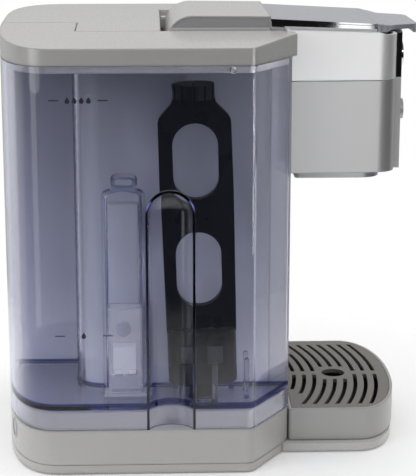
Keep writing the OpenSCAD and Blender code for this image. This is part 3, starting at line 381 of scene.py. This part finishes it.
def tray_with_painted_shade():
    """The tray's warm grey outside, with painted shade in the basin under the plate: it is painted near
    black.
    """
    tray_middle_y, plate_underside = -0.098, 0.0284
    m = Nodes("drip_tray_painted_shade")
    place = m.add("ShaderNodeSeparateXYZ")
    m.link(m.coord, place.inputs[0])
    lean = m.add("ShaderNodeSeparateXYZ")
    m.link(m.add("ShaderNodeTexCoord").outputs["Normal"], lean.inputs[0])

    def calc(kind, a, b):
        node = m.add("ShaderNodeMath", operation=kind)
        for slot, value in ((0, a), (1, b)):
            if isinstance(value, float):
                node.inputs[slot].default_value = value
            else:
                m.link(value, node.inputs[slot])
        return node.outputs[0]

    # a face of the basin looks towards the tray's middle, lies under the plate and doesn't look down; these
    # faces get painted shade, near black
    sideways = calc("MULTIPLY", place.outputs["X"], lean.outputs["X"])
    lengthways = calc("MULTIPLY", calc("ADD", place.outputs["Y"], -tray_middle_y), lean.outputs["Y"])
    inward = calc("LESS_THAN", calc("ADD", sideways, lengthways), 0.002)
    basin_shade = calc("MULTIPLY", inward, calc("LESS_THAN", place.outputs["Z"], plate_underside))
    basin_shade = calc("MULTIPLY", basin_shade, calc("GREATER_THAN", lean.outputs["Z"], -0.5))
    grey = m.mix(m.noise(14.0, 3.0), (0.4, 0.397, 0.388), (0.42, 0.415, 0.408))
    # painted shade: the basin under the plate turns near black
    dark = m.add("ShaderNodeMix", data_type="RGBA")
    dark.inputs["B"].default_value = (0.008, 0.008, 0.009, 1)
    m.link(basin_shade, dark.inputs["Factor"])
    m.link(grey, dark.inputs["A"])
    m.link(dark.outputs["Result"], m.bsdf.inputs["Base Color"])
    m.link(m.ramp(m.noise(1400.0), 0.3, 0.7, 0.28, 0.34), m.bsdf.inputs["Roughness"])
    m.normal(m.noise(1400.0), 0.04, GRAIN, 0.0016)
    return m.mat


def wall_with_painted_shade():
    """The body's wall behind the tank: grey, with painted shade that makes it darker towards the top, under
    the lid, and towards the front.
    """
    m = Nodes("inner_wall_painted_shade")
    place = m.add("ShaderNodeSeparateXYZ")
    m.link(m.coord, place.inputs[0])
    dark = m.ramp(m.noise(14.0, 3.0), 0.3, 0.7, -0.04, 0.04)
    # painted shade: darker towards the top, under the lid, and towards the front
    shade_towards_top = m.ramp(place.outputs["Z"], 0.06, 0.285, 0.0, 0.9)
    shade_towards_front = m.ramp(place.outputs["Y"], 0.04, -0.035, 0.0, 0.55)
    for part in (shade_towards_top, shade_towards_front):
        both = m.add("ShaderNodeMath", operation="ADD")
        m.link(dark, both.inputs[0])
        m.link(part, both.inputs[1])
        dark = both.outputs[0]
    m.link(m.mix(dark, (0.92, 0.93, 0.935), (0.3, 0.31, 0.32)), m.bsdf.inputs["Base Color"])
    m.link(m.ramp(m.noise(900.0), 0.3, 0.7, 0.45, 0.55), m.bsdf.inputs["Roughness"])
    m.normal(m.noise(900.0), 0.05, GRAIN, 0.001)
    return m.mat


MATS["wall"] = wall_with_painted_shade()
MATS["lid_plate"] = lid_plate_finish()
MATS["tray"] = tray_with_painted_shade()

FINISH = {
    "base_housing": "warm_base", "bottom_plate": "black", "rubber_feet": "rubber", "base_screws": "steel",
    "tank_inlet": "black", "screw_cap": "dark_silver", "cord_gland": "rubber", "tray_shelf": "warm",
    "side_shell": "warm", "inner_wall": "wall", "front_column": "warm", "top_cover": "warm",
    "head_lower_housing": "silver", "head_upper_housing": "silver_light", "head_bottom_pan": "dark_silver",
    "front_plate_lower": "silver_light", "front_plate_upper": "chrome", "brew_button_ring": "chrome",
    "indicator_lenses": "lens", "button_board": "board", "head_deck": "black", "lid_hinge_pins": "steel",
    "pod_holder": "black", "lower_needle": "steel", "outlet_spout": "black", "water_pump": "pump",
    "boiler": "steel", "boiler_thermostat": "black", "cold_hose": "hose", "pump_hose": "hose",
    "hot_hose": "hose", "control_board": "board", "float_sensor": "black", "brew_button": "chrome",
    "size_button_small": "dark_silver", "size_button_medium": "dark_silver",
    "size_button_large": "dark_silver", "power_button": "black", "lid_rear_cover": "warm",
    "lid_front_plate": "lid_plate", "lid_chrome_bands": "chrome", "lid_side_panels": "panel",
    "lid_handle": "blue_grey", "lid_liner": "black", "lid_latch": "steel", "lid_water_tube": "hose",
    "upper_needle": "steel", "pod_seal": "seal", "tank_body": "tank", "filter_handle": "black_smooth",
    "filter_cup": "black_smooth", "filter_cartridge": "charcoal", "float_cage": "clear",
    "valve_spring": "steel", "tank_lid": "warm", "filter_dial": "black_smooth", "float_block": "white",
    "valve_poppet": "white", "drip_tray": "tray", "drip_plate": "plate",
}


def shade(obj, angle=32.0):
    """Smooth shading with sharp edges kept, on a welded copy of the surface."""
    for poly in obj.data.polygons:
        poly.use_smooth = True
    weld = obj.modifiers.new("weld", "WELD")
    weld.merge_threshold = 0.00001
    split = obj.modifiers.new("split", "EDGE_SPLIT")
    split.split_angle = math.radians(angle)


for name, obj in nodes.items():
    obj.data.materials.clear()
    obj.data.materials.append(MATS[FINISH[name]])
    shade(obj)

# ---------- fine detail


def piece(name, bm, material, body):
    """Turns a bmesh into an object that rides on a body."""
    mesh = bpy.data.meshes.new(name)
    bmesh.ops.recalc_face_normals(bm, faces=bm.faces)
    bm.to_mesh(mesh)
    bm.free()
    obj = bpy.data.objects.new(name, mesh)
    scene.collection.objects.link(obj)
    mesh.materials.append(MATS[material])
    shade(obj)
    if body:
        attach(obj, body)
    return obj


def plate(bm, outline, place, depth):
    """A thin plate whose outline (u, v) stands in a plane; place(u, v, w) gives its points."""
    front = [bm.verts.new(place(u, v, 0)) for u, v in outline]
    back = [bm.verts.new(place(u, v, depth)) for u, v in outline]
    bm.faces.new(front)
    bm.faces.new(back[::-1])
    for k in range(len(outline)):
        n = (k + 1) % len(outline)
        bm.faces.new([front[n], front[k], back[k], back[n]])


def bar(u0, u1, v0, v1):
    """A rectangle's outline."""
    return [(u0, v0), (u1, v0), (u1, v1), (u0, v1)]


def circle(u, v, r, count=24):
    """A round outline."""
    turns = [math.tau * k / count for k in range(count)]
    return [(u + r * math.cos(a), v + r * math.sin(a)) for a in turns]


def drop(u, v, r, count=20):
    """A water drop: a round belly with a point on top."""
    lean, tip = math.radians(32), 1.9
    span = math.pi + 2 * lean
    turns = [math.pi - lean + span * k / count for k in range(count + 1)]
    return [(u + r * math.cos(a), v + r * math.sin(a)) for a in turns] + [(u, v + tip * r)]


def level_mark(name, z, rear, front, drops):
    """A level mark on the tank's side wall: a dash, a row of drops, a dash.

    z is its height. rear and front are where the two dashes end at the back.
    """
    dash, line = 0.0068, 0.00072
    drop_r, drop_pitch, drop_sink, row_shift = 0.0016, 0.0048, 0.0006, 0.00325
    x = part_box("tank_body")[0].x
    bm = bmesh.new()

    def place(u, v, w):
        return (x - PRINT_PROUD + w, u, z + v)

    for y in (rear, front):
        plate(bm, bar(y - dash, y, -line / 2, line / 2), place, TANK_PRINT_T)
    middle = (rear + front) / 2 - row_shift
    for k in range(drops):
        y = middle + (k - (drops - 1) / 2) * drop_pitch
        plate(bm, drop(y, -drop_sink, drop_r), place, TANK_PRINT_T)
    piece(name, bm, "print", "tank")


level_mark("max_level_mark", 0.2683, 0.1135, 0.0805, 4)
level_mark("min_level_mark", 0.1032, 0.1125, 0.0795, 1)


def front_place(node):
    """A function that puts (u, v, w) on a button's front face, u to the right and v up."""
    low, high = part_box(node)
    centre = (low + high) / 2
    return lambda u, v, w: (centre.x + u, low.y - PRINT_PROUD + w, centre.z + v)


def size_mark(node, dots, dot_r=0.0011, pitch=0.0034):
    """A row of dots on a cup size button."""
    bm = bmesh.new()
    place = front_place(node)
    for k in range(dots):
        plate(bm, circle((k - (dots - 1) / 2) * pitch, 0, dot_r), place, BUTTON_PRINT_T)
    piece(node + "_mark", bm, "print", node)


def power_mark(node, inner_r=0.002, outer_r=0.0025, steps=28):
    """An open ring with a bar in its gap, on the power button."""
    line, bar_low, bar_high = outer_r - inner_r, 0.0004, 0.0029
    first, sweep = 125, 290
    bm = bmesh.new()
    place = front_place(node)
    plate(bm, bar(-line / 2, line / 2, bar_low, bar_high), place, BUTTON_PRINT_T)
    turn = [math.radians(first + sweep * k / steps) for k in range(steps + 1)]
    outer = [(outer_r * math.cos(a), outer_r * math.sin(a)) for a in turn]
    inner = [(inner_r * math.cos(a), inner_r * math.sin(a)) for a in turn]
    for k in range(steps):
        plate(bm, [outer[k], outer[k + 1], inner[k + 1], inner[k]], place, BUTTON_PRINT_T)
    piece(node + "_mark", bm, "white", node)


for size_node, dots in (("size_button_small", 1), ("size_button_medium", 2), ("size_button_large", 3)):
    size_mark(size_node, dots)
power_mark("power_button")


def tube(name, points, radius, material, body, closed=False, sides=10):
    """A round wire or bead along a line of points."""
    bm = bmesh.new()
    rings = []
    count = len(points)
    side = None
    for k, p in enumerate(points):
        ahead = points[(k + 1) % count] if closed or k + 1 < count else p
        behind = points[k - 1] if closed or k else p
        along = (ahead - behind).normalized()
        side = side or along.orthogonal()
        side = (side - along * side.dot(along)).normalized()
        up = along.cross(side)
        round_it = [math.cos(math.tau * j / sides) * side + math.sin(math.tau * j / sides) * up
                    for j in range(sides)]
        rings.append([bm.verts.new(p + radius * out) for out in round_it])
    for k in range(count if closed else count - 1):
        a, b = rings[k], rings[(k + 1) % count]
        for j in range(sides):
            n = (j + 1) % sides
            bm.faces.new([a[j], a[n], b[n], b[j]])
    if not closed:
        bm.faces.new(rings[0][::-1])
        bm.faces.new(rings[-1])
    return piece(name, bm, material, body)


def rim_eyelet():
    """The small bright eyelet in the tank's rim."""
    proud, y, z = 0.0002, -0.0105, 0.2882
    ring_r, wire_r = 0.0019, 0.00045
    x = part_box("tank_body")[0].x - proud
    ring = [Vector((x, u, v)) for u, v in circle(y, z, ring_r, 28)]
    tube("rim_eyelet", ring, wire_r, "bright", "tank", closed=True)


rim_eyelet()


def valve_coil():
    """The valve's spring, wound from wire, in place of the valve_spring part."""
    low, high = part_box("valve_spring")
    centre = (low + high) / 2
    wire, turns, steps = 0.00017, 3, 32
    r = (high.x - low.x) / 2 - wire
    bottom, top = low.z + wire, high.z - wire
    count = turns * steps
    points = []
    for k in range(count + 1):
        a = math.tau * k / steps
        z = bottom + (top - bottom) * k / count
        points.append(Vector((centre.x + r * math.cos(a), centre.y + r * math.sin(a), z)))
    coil = tube("valve_coil", points, wire, "steel", None, sides=8)
    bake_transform(coil)
    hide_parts("valve_spring")


valve_coil()


# ---------- floor


def floor():
    """A pale disc that fades out at its rim, so it has no edge to be mirrored in the tank."""
    mesh = bpy.data.meshes.new("floor")
    bm = bmesh.new()
    bm.faces.new([bm.verts.new((u, v, FLOOR_Z)) for u, v in circle(0, 0, FLOOR_R, 96)])
    bm.to_mesh(mesh)
    bm.free()
    obj = bpy.data.objects.new("floor", mesh)
    scene.collection.objects.link(obj)
    m = Nodes("floor_white")
    reach = m.add("ShaderNodeVectorMath", operation="LENGTH")
    m.link(m.coord, reach.inputs[0])
    m.link(m.ramp(reach.outputs["Value"], FLOOR_SOLID, FLOOR_R, 1.0, 0.0), m.bsdf.inputs["Alpha"])
    m.link(m.mix(m.noise(3.0), (0.88, 0.88, 0.88), (0.9, 0.9, 0.9)), m.bsdf.inputs["Base Color"])
    m.bsdf.inputs["Emission Color"].default_value = (1, 1, 1, 1)
    m.bsdf.inputs["Emission Strength"].default_value = FLOOR_GLOW
    m.bsdf.inputs["Roughness"].default_value = 0.7
    mesh.materials.append(m.mat)


floor()
